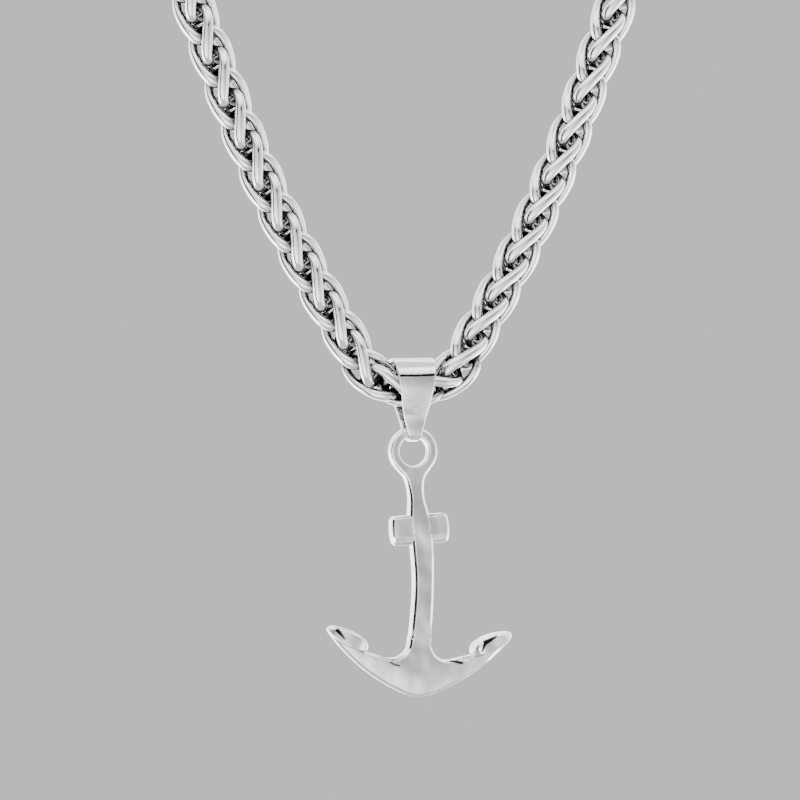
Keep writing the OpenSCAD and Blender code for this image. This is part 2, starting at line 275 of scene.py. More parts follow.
def loop_pieces(settings):
    """The half loop from the bail to the nape: rows of length, radius (0 is straight) and first heading."""
    loop, chain = settings.loop, settings.chain
    rise_end = math.pi / 2 - loop.strand_tilt
    top_turn = math.pi - rise_end
    last_link = chain.each_side * chain.step - loop.pitch_out * math.pi
    turn = loop.turn_r * loop.turn_end
    ease = loop.ease_r * (loop.ease_end - loop.turn_end)
    strand = loop.strand_r * (rise_end - loop.ease_end)
    across = (
        loop.turn_r * math.sin(loop.turn_end)
        + loop.ease_r * (math.sin(loop.ease_end) - math.sin(loop.turn_end))
        + loop.strand_r * (math.sin(rise_end) - math.sin(loop.ease_end))
        - loop.half_group
    )
    spare = last_link - turn - ease - strand - across / math.sin(rise_end) * top_turn
    straight = spare / (1 + top_turn / math.tan(rise_end))
    top_r = (across + straight * math.cos(rise_end)) / math.sin(rise_end)
    return np.array([
        [turn, loop.turn_r, 0],
        [ease, loop.ease_r, loop.turn_end],
        [strand, loop.strand_r, loop.ease_end],
        [straight, 0, rise_end],
        [top_r * top_turn, top_r, rise_end],
        [loop.half_group, 0, math.pi],
    ])


def along_piece(piece, start, s):
    """Place and heading at length s into a piece, by its heading or, on an arc, by its centre."""
    _, radius, first = piece
    if radius == 0:
        return start[0] + s * math.cos(first), start[1] + s * math.sin(first), first + 0 * s
    heading = first + s / radius
    across = start[0] + radius * (np.sin(heading) - math.sin(first))
    return across, start[1] + radius * (math.cos(first) - np.cos(heading)), heading


def flat_at(pieces, s):
    """Place and heading on the flat curve at signed lengths s from the bail, mirrored for the left half."""
    s = np.asarray(s, float)
    size = np.abs(s)
    ends = np.cumsum(pieces[:, 0])
    index = np.minimum(np.searchsorted(ends, size), len(pieces) - 1)
    out = np.zeros((3,) + size.shape)
    start = (0.0, 0.0)
    for i, piece in enumerate(pieces):
        here = index == i
        before = ends[i] - piece[0]
        out[:, here] = along_piece(piece, start, size[here] - before)
        start = along_piece(piece, start, np.array(piece[0]))[:2]
    side = np.where(s < 0, -1, 1)
    return side * out[0], out[1], side * out[2]


def from_pitch(pieces, pitch_out, t):
    """Length along the curve at length t of the pitch line, which runs pitch_out outside every bend."""
    radius = np.where(pieces[:, 1] == 0, np.inf, pieces[:, 1])
    stretched = pieces[:, 0] * (1 + pitch_out / radius)
    marks = np.concatenate([[0], np.cumsum(stretched)])
    return np.interp(t, marks, np.concatenate([[0], np.cumsum(pieces[:, 0])]))


def sheet(loop, v):
    """Back and up places and the lean of the sheet at height v: upright, then an arc back, then straight."""
    bent = np.clip(v - loop.bend_start, 0, loop.bend_r * loop.bend_angle)
    rest = np.maximum(v - loop.bend_start - bent, 0)
    lean = bent / loop.bend_r
    back = loop.bend_r * (1 - np.cos(lean)) + rest * np.sin(lean)
    up = np.minimum(v, loop.bend_start) + loop.bend_r * np.sin(lean) + rest * np.cos(lean)
    return back, up, lean


def frames_at(settings, pieces, s):
    """Points of the route at lengths s, with the directions outwards in a bend, back, and along."""
    u, v, heading = flat_at(pieces, s)
    back, up, lean = sheet(settings.loop, v)
    zero = 0 * lean
    rise = np.stack([zero, np.sin(lean), np.cos(lean)], -1)
    front = np.stack([zero, -np.cos(lean), np.sin(lean)], -1)
    side = np.stack([np.cos(heading), zero, zero], -1)
    along = side + np.sin(heading)[..., None] * rise
    point = np.stack([u, back, up], -1) + CHAIN_LOW
    return point, np.cross(along, front), -front, along


# The links

# In a bend a link of each kind sits outwards and tips, both in proportion to how sharp the bend is
OUT_FRONT = 0.481 * MM * MM
OUT_SIDE = 3.595 * MM * MM
TIP_FRONT = math.radians(-0.52) * MM
TIP_SIDE = math.radians(35.7) * MM
# The links' surface pattern is as long as the wire of this many links
PATTERN_LINKS = 40
# The link in the bail is pressed narrower, so that the bail turns round it freely
LINK_IN_BAIL = (0.93, 0.93, 1.0)


def link_middle(chain, kind, a):
    """The middle of the wire at angle a round a link.

    It is a full oval: half width times a power of the sine, half length times a power of the cosine.
    Its ends are turned about the chain's axis by the twist times a power of the cosine.
    The two kinds mirror each other a quarter turn apart.
    """
    turn = chain.twist * signed_power(np.cos(a), chain.twist_power)
    turn = turn - math.pi / 2 if kind == 0 else -turn
    out = chain.half_w * signed_power(np.sin(a), chain.side_power)
    up = chain.half_l * signed_power(np.cos(a), chain.end_power)
    return np.stack([out * np.cos(turn), out * np.sin(turn), up], -1), turn


def link_surface(chain, kind, low_end=-1):
    """Points of one link about its centre, as rings by sides by 3, and the wire's length.

    The wire's section is an oval with a power that flattens it: its width lies across the link's plane
    and its depth in it. The section is carried along the middle line at even lengths, and is fuller
    towards the low end by the cosine of the angle.
    """
    fine = np.linspace(0, 2 * math.pi, 1441)
    middle, _ = link_middle(chain, kind, fine)
    lengths = np.concatenate([[0], np.cumsum(np.linalg.norm(np.diff(middle, axis=0), axis=1))])
    a = np.interp(np.arange(chain.rings) * lengths[-1] / chain.rings, lengths, fine)
    middle, turn = link_middle(chain, kind, a)
    tangent = unit(np.roll(middle, -1, 0) - np.roll(middle, 1, 0))
    flat = np.stack([-np.sin(turn), np.cos(turn), 0 * turn], -1)
    across = unit(flat - np.sum(flat * tangent, -1, keepdims=True) * tangent)
    outwards = np.cross(tangent, across)
    w = np.arange(chain.sides) * 2 * math.pi / chain.sides
    deep = chain.wire_deep / 2 * signed_power(np.cos(w), chain.wire_power)
    wide = chain.wire_across / 2 * signed_power(np.sin(w), chain.wire_power)
    ring = deep[None, :, None] * outwards[:, None] + wide[None, :, None] * across[:, None]
    ring = ring * (1 + low_end * chain.fuller * np.cos(a))[:, None, None]
    return middle[:, None] + ring, lengths[-1]


def link_run(settings, first, last):
    """All links from first to last in place, as links by points by 3, and each point's reach from the axis.

    A link is carried to its place on the route, moved outwards in a bend and tipped about that direction.
    """
    chain, loop = settings.chain, settings.loop
    pieces = loop_pieces(settings)
    k = np.arange(first, last + 1)
    s = np.sign(k) * from_pitch(pieces, loop.pitch_out, np.abs(k) * chain.step)
    point, outwards, back, along = frames_at(settings, pieces, s)
    bend = (flat_at(pieces, s + chain.step)[2] - flat_at(pieces, s - chain.step)[2]) / (2 * chain.step)
    side = k % 2 == 0
    out = bend * np.where(side, OUT_SIDE, OUT_FRONT)
    tip = bend * np.where(side, TIP_SIDE, TIP_FRONT)
    low_end = 1 if first < 0 else -1
    shapes = np.stack([link_surface(chain, kind, low_end)[0].reshape(-1, 3) for kind in (0, 1)])
    shape = shapes[side.astype(int)] * np.where(k[:, None, None] == 0, LINK_IN_BAIL, 1.0)
    cos, sin = np.cos(tip)[:, None], np.sin(tip)[:, None]
    y = shape[..., 1] * cos - shape[..., 2] * sin
    z = shape[..., 1] * sin + shape[..., 2] * cos
    x = shape[..., 0] + out[:, None]
    placed = (
        point[:, None]
        + x[..., None] * outwards[:, None]
        + y[..., None] * back[:, None]
        + z[..., None] * along[:, None]
    )
    return placed, np.hypot(shape[..., 0], shape[..., 1])


def link_quads_and_uv(chain, count):
    """Quads of count links, and for each corner the length along the wire and round it, in metres."""
    quads = grid_quads(chain.rings, chain.sides)
    each = chain.rings * chain.sides
    all_quads = (quads[None] + np.arange(count)[:, None, None] * each).reshape(-1, 4)
    wire_length = link_surface(chain, 0)[1]
    girth = math.pi * (chain.wire_across + chain.wire_deep) / 2
    i, j = np.meshgrid(np.arange(chain.rings), np.arange(chain.sides), indexing="ij")
    u = np.stack([i, i + 1, i + 1, i], -1).reshape(-1, 4) / chain.rings * wire_length
    v = np.stack([j, j, j + 1, j + 1], -1).reshape(-1, 4) / chain.sides * girth
    # each link starts at another place of the pattern, so that no two carry the same marks
    golden = (math.sqrt(5) - 1) / 2
    starts = (np.arange(count) * golden % 1)[:, None, None] * PATTERN_LINKS * wire_length
    uv = np.stack([u[None] + starts, v[None] + 0 * starts], -1)
    return all_quads, uv.reshape(-1, 4, 2)


# The bail

# Points round the strap's outline while it is eased, and how many on each side the running mean takes in
FINE_POINTS = 1200
EASE_POINTS = 30


def bail_path(bail, count=176):
    """Points and outward directions of the strap's middle line, seen from the side, as y and z.

    Over the chain it is a square-shouldered oval: equal powers of y and z add up to a constant. Below,
    tangents lead down to upright legs, and half such an oval is the fold. Its corners are eased by a
    running mean.
    """
    top_r = bail.room_r + bail.strap / 2
    low_r = bail.leg_in + bail.strap / 2
    fold_z = -bail.drop + bail.strap + bail.leg_in
    corner = math.atan2(bail.leg_z, low_r)
    touch = corner + math.acos(top_r / math.hypot(low_r, bail.leg_z))
    arc = np.linspace(touch, math.pi - touch, 361)

    def square(a, power):
        """Radius of the oval at an angle."""
        return (np.abs(np.cos(a)) ** power + np.abs(np.sin(a)) ** power) ** (-1 / power)

    radius = top_r * np.where(np.sin(arc) > 0, square(arc, bail.shoulder), 1)
    fold = np.linspace(math.pi, 2 * math.pi, 121)
    fold_r = low_r * square(fold, bail.fold_power)
    line = np.concatenate([
        np.stack([radius * np.cos(arc), radius * np.sin(arc)], -1),
        [[-low_r, bail.leg_z]],
        np.stack([fold_r * np.cos(fold), fold_z + fold_r * np.sin(fold)], -1),
        [[low_r, bail.leg_z]],
    ])
    fine = even_points(line, FINE_POINTS)
    window = np.hanning(2 * EASE_POINTS + 3)[1:-1]
    window = window / window.sum()
    padded = np.concatenate([fine[-EASE_POINTS:], fine, fine[:EASE_POINTS]])
    eased = np.stack([np.convolve(padded[:, i], window, "valid") for i in (0, 1)], -1)
    path = even_points(eased, count)
    tangent = unit(np.roll(path, -1, 0) - np.roll(path, 1, 0))
    return path, np.stack([tangent[:, 1], -tangent[:, 0]], -1)


def even_points(line, count):
    """Points at even lengths round a closed line."""
    line = np.concatenate([line, line[:1]])
    lengths = np.concatenate([[0], np.cumsum(np.linalg.norm(np.diff(line, axis=0), axis=1))])
    marks = np.arange(count) * lengths[-1] / count
    return np.stack([np.interp(marks, lengths, line[:, i]) for i in (0, 1)], -1)


# Half widths of the strap by height from the chain's centre, in millimetres, from the fold up
STRAP_WIDTHS = np.array([
    [-9, 0.34], [-7.95, 0.42], [-7.7, 0.62], [-7.3, 0.86], [-6.05, 1.18], [-4.5, 1.57], [-2.95, 1.93],
    [-1.4, 2.2], [0.2, 2.48], [1.7, 2.72], [2.8, 2.9], [5, 3.0],
]) * MM


def rounded_bar_section(edge_points=5):
    """Corner signs and unit offsets of a bar's section with round edges, starting at its right side.

    Each edge is a quarter circle, and the flats lie between them.
    """
    quarter = np.linspace(0, math.pi / 2, edge_points)
    signs, offsets = [], []
    for turn, (sx, st) in enumerate([(1, 1), (-1, 1), (-1, -1), (1, -1)]):
        a = quarter + turn * math.pi / 2
        signs.append(np.tile([sx, st], (edge_points, 1)))
        offsets.append(np.stack([np.cos(a), np.sin(a)], -1))
    return np.concatenate(signs), np.concatenate(offsets)


def strap_surface(bail):
    """The strap: a bar section with round edges, carried round the side outline, its width set by height."""
    path, outwards = bail_path(bail)
    half = np.interp(path[:, 1], *STRAP_WIDTHS.T) * bail.width / (2 * STRAP_WIDTHS[-1, 1])
    signs, offsets = rounded_bar_section()
    edge = bail.edge_r
    x = signs[None, :, 0] * (half - edge)[:, None] + offsets[None, :, 0] * edge
    t = signs[None, :, 1] * (bail.strap / 2 - edge) + offsets[None, :, 1] * edge
    yz = path[:, None] + t[..., None] * outwards[:, None]
    return np.stack([x, yz[..., 0], yz[..., 1]], -1) + CHAIN_LOW


# Castings, as the surface where a distance formula is zero

def soft_max(a, b, blend):
    """The larger of two distances, rounded over the blend where they are close: it eases an edge."""
    h = np.clip(0.5 + 0.5 * (a - b) / blend, 0, 1)
    return b + (a - b) * h + blend * h * (1 - h)


def soft_min(a, b, blend):
    """The smaller of two distances, rounded over the blend where they are close: it makes a fillet."""
    return -soft_max(-a, -b, blend)


def round_section(a, b, radius):
    """Distance to the corner between two distances a and b, rounded with a radius."""
    a, b = a + radius, b + radius
    return np.hypot(np.maximum(a, 0), np.maximum(b, 0)) + np.minimum(np.maximum(a, b), 0) - radius


def bevelled_section(a, b, bevel, ease=0.05 * MM):
    """Distance to the corner between two distances a and b, cut off by a flat bevel with eased edges."""
    return soft_max(np.maximum(a, b), (a + b + bevel) * math.sqrt(0.5), ease)


def bar_distance(x, z, start, end, radius, end_radius=None):
    """Distance from a flat bar with round ends, which may grow or narrow evenly to its end."""
    along, up = end[0] - start[0], end[1] - start[1]
    share = np.clip(((x - start[0]) * along + (z - start[1]) * up) / (along**2 + up**2), 0, 1)
    half = radius if end_radius is None else radius + share * (end_radius - radius)
    return np.hypot(x - start[0] - share * along, z - start[1] - share * up) - half


def smooth_table(t, table):
    """A smooth curve through rows of place and value: cubics, with slopes from the neighbouring rows."""
    x, y = table[:, 0], table[:, 1]
    slope = np.gradient(y, x)
    i = np.clip(np.searchsorted(x, t) - 1, 0, len(x) - 2)
    h = x[i + 1] - x[i]
    u = np.clip((t - x[i]) / h, 0, 1)
    return (
        (2 * u**3 - 3 * u**2 + 1) * y[i]
        + (u**3 - 2 * u**2 + u) * h * slope[i]
        + (3 * u**2 - 2 * u**3) * y[i + 1]
        + (u**3 - u**2) * h * slope[i + 1]
    )


# How often the points slide, the step that the slope is measured over as a share of a cell, and the
# least squared slope, which keeps a slide short where the field is flat
SLIDES = 4
NUDGE_SHARE = 0.05
LEAST_SLOPE = 0.2


def zero_surface(field, low, high, cell):
    """Points, quads and normals of the surface where field(x, y, z) is zero.

    Space is cut into cells. Each cell that the surface crosses gets one point, at the mean of the places
    where it crosses the cell's edges, and each crossed edge of the grid gets the quad round it. The points
    then slide along the field's slope until the field is zero at them. The slope there is the normal.
    """
    axes = [np.arange(low[i], high[i] + cell, cell) for i in range(3)]
    x, y, z = np.meshgrid(*axes, indexing="ij")
    value = field(x, y, z)
    inside = value < 0
    cells = np.array(value.shape) - 1
    total = np.zeros((*cells, 3))
    hits = np.zeros(cells)
    edges = []
    for axis in range(3):
        lower = [slice(None)] * 3
        upper = [slice(None)] * 3
        lower[axis], upper[axis] = slice(0, -1), slice(1, None)
        first, second = value[tuple(lower)], value[tuple(upper)]
        crossed = inside[tuple(lower)] != inside[tuple(upper)]
        i, j, k = np.nonzero(crossed)
        share = first[i, j, k] / (first[i, j, k] - second[i, j, k])
        place = np.stack([i, j, k], -1).astype(float)
        place[:, axis] += share
        b, c = [other for other in range(3) if other != axis]
        around = []
        for db, dc in ((-1, -1), (0, -1), (0, 0), (-1, 0)):
            index = np.stack([i, j, k], -1)
            index[:, b] += db
            index[:, c] += dc
            np.add.at(total, tuple(index.T), place)
            np.add.at(hits, tuple(index.T), 1)
            around.append(index)
        edges.append((around, inside[tuple(lower)][i, j, k], axis))
    used = hits > 0
    number = np.cumsum(used.ravel()).reshape(cells) - 1
    points = total[used] / hits[used][:, None] * cell + np.array(low)
    quads = []
    for around, starts_inside, axis in edges:
        quad = np.stack([number[tuple(index.T)] for index in around], -1)
        turned = starts_inside if axis == 1 else ~starts_inside
        quads.append(np.where(turned[:, None], quad[:, ::-1], quad))
    nudge = cell * NUDGE_SHARE

    def slope_at(places):
        steps = np.eye(3) * nudge
        return np.stack([field(*(places + s).T) - field(*(places - s).T) for s in steps], -1) / (2 * nudge)

    for _ in range(SLIDES):
        here = field(*points.T)
        slope = slope_at(points)
        move = here[:, None] * slope / np.maximum(np.sum(slope**2, -1, keepdims=True), LEAST_SLOPE)
        points = points - np.clip(move, -cell / 2, cell / 2)
    return points, np.concatenate(quads), unit(slope_at(points))


# Half widths of the shank seen from the front, by height from the eye's centre, in millimetres
SHANK_WIDTHS = np.array([
    [-31, 1.5], [-26.6, 1.45], [-24, 1.4], [-17.5, 1.36], [-13, 1.48], [-10, 1.5], [-8.2, 1.27],
    [-6.8, 1.06], [-5.2, 1.08], [-3.9, 1.35], [-2.6, 2.0],
]) * MM
# Half thicknesses of the flat casting, in the same way
PLATE_DEPTHS = np.array([
    [-36, 1.4], [-20, 1.4], [-14, 1.42], [-8.4, 1.42], [-6, 1.25], [-4, 1.12], [-2, 1.1], [4, 1.1],
]) * MM
# The arms thin towards their lower edge by this much over this distance
ARMS_THINNER = 0.5 * MM
ARMS_THIN_W = 3.4 * MM
# The section changes from the shank's to the eye's between these heights
EYE_FROM = -5.5 * MM
EYE_RISE = 2.5 * MM
# The stock: how far its middle is left of the shank's, its half thickness, round corners, the bow of
# its ends, and the long bevel below
STOCK_LEFT = 0.1 * MM
STOCK_HALF_T = 1.42 * MM
STOCK_CORNER = 0.55 * MM
STOCK_END_BOW = 0.05 / MM
STOCK_BEVEL = math.radians(21)
STOCK_BEVEL_Z = -0.85 * MM
# The polishing leaves a narrow bevel along the casting's edges, and rounds those of the eye and its hole
EDGE = 0.36 * MM
EYE_EDGE = 0.5 * MM
HOLE_EDGE = 0.4 * MM
# Fillets where its parts meet
EYE_FILLET = 0.6 * MM
ARM_FILLET = 0.3 * MM
PALM_FILLET = 0.12 * MM
LUMP_FILLET = 0.2 * MM
# A palm: its middle, the reach of its ends inwards and to the tip, the bows of its top and underside,
# and how round its edges are
PALM_AT = (10.12 * MM, -25.37 * MM)
PALM_IN = 3.5 * MM
PALM_TIP = 3.1 * MM
PALM_BOW_R = 8 * MM
PALM_BOW_X = -0.4 * MM
PALM_UNDER = 5.9 * MM
PALM_EDGE = 0.5 * MM
PALM_LOW_EDGE = 0.16 * MM
PALM_CORNER = 0.4 * MM
# The crown: how round its point and the arms' tips are, how far short of the palms' tips the arms end,
# its top between the hollows, and the hollows beside the shank
CROWN_POINT = 1.1 * MM
ARM_TIP = 0.15 * MM
ARM_SHORT = 0.5 * MM
CROWN_TOP = -26.15 * MM
HOLLOW_MID = (7.6 * MM, -25.55 * MM)
HOLLOW_END = (14 * MM, -22.3 * MM)
HOLLOW_HALF = 4.05 * MM
HOLLOW_Z = -26.5 * MM
# A small lump that the casting left on the right arm
LUMP = (6.93 * MM, -0.95 * MM, -29.1 * MM)
LUMP_R = 0.45 * MM
# The arms are turned about this place
ARMS_AT = (0.42 * MM, -29 * MM)
# The grid that the casting is found on: how far it goes beyond the arms' span, and its half depth
GRID_BEYOND = 0.6 * MM
GRID_HALF_DEPTH = 2.5 * MM


def bowed(anchor, z):
    """How far the bow carries the shank to the right at a height: a sine squared, none at its ends."""
    return anchor.bow * np.sin(math.pi * z / anchor.crown_drop) ** 2


def turned(x, z, at, turn):
    """Coordinates about a place, in axes turned left side down by an angle."""
    x, z = x - at[0], z - at[1]
    return x * math.cos(turn) + z * math.sin(turn), z * math.cos(turn) - x * math.sin(turn)


def stock_distance(anchor, x, y, z):
    """A short bar across, with eased edges, slightly bowed ends and a bevel along its lower edges."""
    middle = (bowed(anchor, anchor.stock_z) - STOCK_LEFT, anchor.stock_z)
    x, up = turned(x, z, middle, anchor.stock_turn)
    flat = np.abs(y) - STOCK_HALF_T
    bevel = flat * math.cos(STOCK_BEVEL) - (up - STOCK_BEVEL_Z) * math.sin(STOCK_BEVEL)
    ends = np.abs(x) - anchor.stock_w / 2 + STOCK_END_BOW * up**2
    level = np.abs(up) - anchor.stock_h / 2
    return bevelled_section(round_section(ends, level, STOCK_CORNER), np.maximum(flat, bevel), EDGE)


def arms_outline(anchor, x, z):
    """Distance in the anchor's plane from the arms, and from the two arcs that meet in the point below."""
    centre_z = -anchor.crown_drop + math.sqrt(anchor.crown_r**2 - anchor.crown_x**2)
    left = np.hypot(x + anchor.crown_x, z - centre_z) - anchor.crown_r
    right = np.hypot(x - anchor.crown_x, z - centre_z) - anchor.crown_r
    below = soft_max(left, right, CROWN_POINT)
    # the shank comes into the arms a little off their middle, and the hollows start beside it
    neck = turned(bowed(anchor, HOLLOW_Z), HOLLOW_Z, ARMS_AT, -anchor.arms_turn)[0]
    side = np.sign(x - neck)
    start = (HOLLOW_HALF + side * neck, HOLLOW_Z)
    hollow = np.minimum(
        bar_distance(side * x, z, start, HOLLOW_MID, anchor.fillet_r),
        bar_distance(side * x, z, HOLLOW_MID, HOLLOW_END, anchor.fillet_r),
    )
    above = np.maximum(-hollow, z - CROWN_TOP)
    outline = np.maximum(soft_max(below, above, ARM_TIP), np.abs(x) - anchor.arm_span + ARM_SHORT)
    return outline, below


def plate_distance(anchor, x, y, z, out, up):
    """The flat casting: the eye, the bowed shank and the arms as one outline.

    Its thickness follows a table by height and thins towards the arms' lower edge. Its edges are bevelled,
    and round at the eye.
    """
    shank = np.abs(x - bowed(anchor, z)) - smooth_table(z, SHANK_WIDTHS)
    shank = np.maximum(shank, np.maximum(z, SHANK_WIDTHS[0, 0] - z))
    arms, below = arms_outline(anchor, out, up)
    outline = soft_min(shank, np.hypot(x, z) - anchor.eye_outer_r, EYE_FILLET)
    outline = soft_min(outline, arms, ARM_FILLET)
    inset = np.clip(1 + below / ARMS_THIN_W, 0, 1)
    face = np.abs(y) - smooth_table(z, PLATE_DEPTHS) + ARMS_THINNER * inset**2
    eye_share = np.clip((z - EYE_FROM) / EYE_RISE, 0, 1)
    bevelled = bevelled_section(outline, face, EDGE)
    return bevelled + (round_section(outline, face, EYE_EDGE) - bevelled) * eye_share


def palm_distance(anchor, x, y, z):
    """A leaf-shaped pad on each arm: upright bowed sides, a bowed top with a round edge, a pointed tip."""
    out, up = np.abs(x) - PALM_AT[0], z - PALM_AT[1]
    cos, sin = math.cos(anchor.palm_rise), math.sin(anchor.palm_rise)
    a, c = out * cos + up * sin, up * cos - out * sin
    side_r = (anchor.palm_l**2 + anchor.palm_w**2) / (4 * anchor.palm_w)
    side_a, side_y = PALM_TIP - anchor.palm_l / 2, side_r - anchor.palm_w / 2
    bow = np.hypot(a - PALM_BOW_X, c + PALM_BOW_R) - PALM_BOW_R
    under = np.hypot(a - PALM_BOW_X, c - PALM_UNDER) - PALM_BOW_R
    sides = np.hypot(a - side_a, np.abs(y) + side_y) - side_r
    ends = np.hypot(a - (PALM_TIP - PALM_IN) / 2, y) - (PALM_TIP + PALM_IN) / 2
    plan = soft_max(sides, ends, PALM_CORNER)
    return soft_max(round_section(bow, plan, PALM_EDGE), under, PALM_LOW_EDGE)


def anchor_distance(anchor, x, y, z):
    """The whole casting: its forms joined with small fillets, and the eye's hole cleared."""
    out, up = turned(x, z, ARMS_AT, -anchor.arms_turn)
    up = up + ARMS_AT[1]
    body = plate_distance(anchor, x, y, z, out, up)
    body = np.minimum(body, stock_distance(anchor, x, y, z))
    body = soft_min(body, palm_distance(anchor, out, y, up), PALM_FILLET)
    lump = np.sqrt((x - LUMP[0]) ** 2 + (y - LUMP[1]) ** 2 + (z - LUMP[2]) ** 2) - LUMP_R
    body = soft_min(body, lump, LUMP_FILLET)
    return soft_max(body, anchor.eye_r - np.hypot(x, z), HOLE_EDGE)


# Painted dark reflections on the casting's front, as strokes along the arms' upper edge and on the palms, in
# millimetres:
# start, end and the half width at each
DARK_REFLECTION_STROKES = np.array([
    [-3.95, -29.3, -3.4, -29.66, 0.05, 0.05], [-3.3, -29.68, -2.65, -29.85, 0.07, 0.07],
    [4.75, -29.42, 5.6, -29.55, 0.06, 0.1], [5.6, -29.55, 6.35, -29.74, 0.14, 0.14],
    [-11.38, -24.72, -10.5, -25.9, 0.24, 0.04], [9.05, -28.15, 9.5, -26.95, 0.04, 0.2],
    [9.55, -26.9, 11.25, -26.1, 0.28, 0.03],
]) * MM
DARK_REFLECTION_FADE = 0.125 * MM


def painted_reflection_share(x, y, z):
    """How much painted dark reflection lies at a place: all on a stroke on the front, fading evenly beside
    it.
    """
    away = np.min([bar_distance(x, z, row[:2], row[2:4], *row[4:]) for row in DARK_REFLECTION_STROKES], 0)
    return np.clip(1 - away / DARK_REFLECTION_FADE, 0, 1) * (y < 0)


# The fastening at the nape

# How the rings and the clasp are turned about the loop, in degrees
JUMP_RING_TURN = 43
END_RING_TURN = 45
CLASP_TURN = -45
# How far the clasp's tail ring runs into its loop, the clasp's round edges and the fillet between them
TAIL_IN = 0.6 * MM
CLASP_EDGE = 0.55 * MM
TAIL_FILLET = 0.4 * MM


def fastening_places(settings):
    """Lengths along the loop of the rings and the clasp, measured from the last link's centre."""
    sizes, chain = settings.fastening, settings.chain
    right = chain.half_l - sizes.wire_cad / 2 - sizes.ring_wire / 2 - sizes.gap + sizes.ring_r
    tail = right + sizes.ring_r - sizes.ring_wire / 2 - sizes.tail_wire / 2 - sizes.gap + sizes.tail_r
    clasp = tail + sizes.tail_r + sizes.clasp_l / 2 - TAIL_IN
    end = clasp + sizes.clasp_l / 2 - sizes.clasp_wall - sizes.end_wire / 2 - sizes.end_gap + sizes.end_r
    left = end + sizes.end_r - sizes.end_wire / 2 - sizes.ring_wire / 2 - sizes.gap + sizes.ring_r
    return {"right": right, "tail": tail, "clasp": clasp, "end": end, "left": left}


def place_on_loop(settings, points, at, turn):
    """Puts points that were drawn about the origin at a length along the loop, turned about it."""
    pieces = loop_pieces(settings)
    last_link = settings.chain.each_side * settings.chain.step - settings.loop.pitch_out * math.pi
    point, outwards, back, along = frames_at(settings, pieces, np.array(last_link + at))
    cos, sin = math.cos(turn), math.sin(turn)
    x = points[..., 0:1] * cos - points[..., 1:2] * sin
    y = points[..., 0:1] * sin + points[..., 1:2] * cos
    return point + x * outwards + y * back + points[..., 2:3] * along


def ring_surface(radius, wire, cut=0.0, rings=96, sides=20):
    """A ring that stands along Z: a circle of wire carried round a circle, open by the cut at its top."""
    half = cut / 2 / radius
    turn = np.linspace(half, 2 * math.pi - half, rings) if cut else np.arange(rings) * 2 * math.pi / rings
    w = np.arange(sides) * 2 * math.pi / sides
    out = radius + wire / 2 * np.cos(w)[None]
    y = wire / 2 * np.sin(w)[None] + 0 * turn[:, None]
    points = np.stack([out * np.sin(turn)[:, None], y, out * np.cos(turn)[:, None]], -1)
    quads = grid_quads(rings, sides, close_rows=not cut)
    caps = [range(sides), range((rings - 1) * sides, rings * sides)] if cut else []
    return points.reshape(-1, 3), quads, caps


def clasp_distance(sizes, tail_drop, x, y, z):
    """A closed loop, narrow at its tail and broad at its head, with a ring on the tail."""
    low, top = sizes.clasp_low_r - sizes.clasp_l / 2, sizes.clasp_l / 2 - sizes.clasp_top_r

    def egg(z0, r0, z1, r1):
        """Distance from the hull of two circles on the Z axis."""
        lean = (r1 - r0) / (z1 - z0)
        steep = math.sqrt(1 - lean**2)
        on_side = np.abs(x) * steep - (z - z0) * lean - r0
        share = (z - z0) * steep + np.abs(x) * lean
        side = np.where(share < 0, np.hypot(x, z - z0) - r0, on_side)
        return np.where(share > (z1 - z0) * steep, np.hypot(x, z - z1) - r1, side)

    loop = np.maximum(
        egg(low, sizes.clasp_low_r, top, sizes.clasp_top_r),
        -egg(0, sizes.clasp_hole_r, top, sizes.clasp_top_r - sizes.clasp_wall),
    )
    body = round_section(loop, np.abs(y) - sizes.clasp_t / 2, CLASP_EDGE)
    tail = np.hypot(np.hypot(x, z + tail_drop) - sizes.tail_r, y) - sizes.tail_wire / 2
    return soft_min(body, tail, TAIL_FILLET)


# Materials

def add_node(tree, kind, settings=(), links=()):
    """Adds a node. Settings go to the node's sockets by name or place, or else to its properties."""
    node = tree.nodes.new(kind)
    for key, value in dict(settings).items():
        if isinstance(key, int) or key in node.inputs:
            node.inputs[key].default_value = value
        else:
            setattr(node, key, value)
    for key, source in dict(links).items():
        tree.links.new(source, node.inputs[key])
    return node


def new_material(name, colour, **shader_settings):
    """A material with one metal shader, and its node tree and shader."""
    material = bpy.data.materials.new(name)
    material.use_nodes = True
    tree = material.node_tree
    tree.nodes.clear()
    shader = add_node(tree, "ShaderNodeBsdfPrincipled", {"Metallic": 1.0, **shader_settings})
    shader.inputs["Base Color"].default_value = (*colour, 1)
    add_node(tree, "ShaderNodeOutputMaterial", links={"Surface": shader.outputs[0]})
    return material, tree, shader


def vary_roughness(tree, shader, pattern, low, high):
    """Lets a noise pattern carry the roughness from low to high. Most of such noise is from 0.3 to 0.7."""
    share = add_node(
        tree,
        "ShaderNodeMapRange",
        {"From Min": 0.3, "From Max": 0.7, "To Min": low, "To Max": high},
        {"Value": pattern.outputs[0]},
    )
    tree.links.new(share.outputs[0], shader.inputs["Roughness"])


def emboss(tree, shader, *layers):
    """Raises the surface by patterns laid on one another: each a height, a strength and a depth in m."""
    below = {}
    for height, strength, depth in layers:
        layer = add_node(
            tree, "ShaderNodeBump", {"Strength": strength, "Distance": depth}, {"Height": height, **below}
        )
        below = {"Normal": layer.outputs[0]}
    tree.links.new(layer.outputs[0], shader.inputs["Normal"])


def mix_colours(tree, shader, share, first, second):
    """Gives the shader a colour that goes from the first to the second as the share goes from 0 to 1."""
    shade = add_node(
        tree, "ShaderNodeMix", {"data_type": "RGBA", 6: (*first, 1), 7: (*second, 1)}, {0: share}
    )
    tree.links.new(shade.outputs[2], shader.inputs["Base Color"])
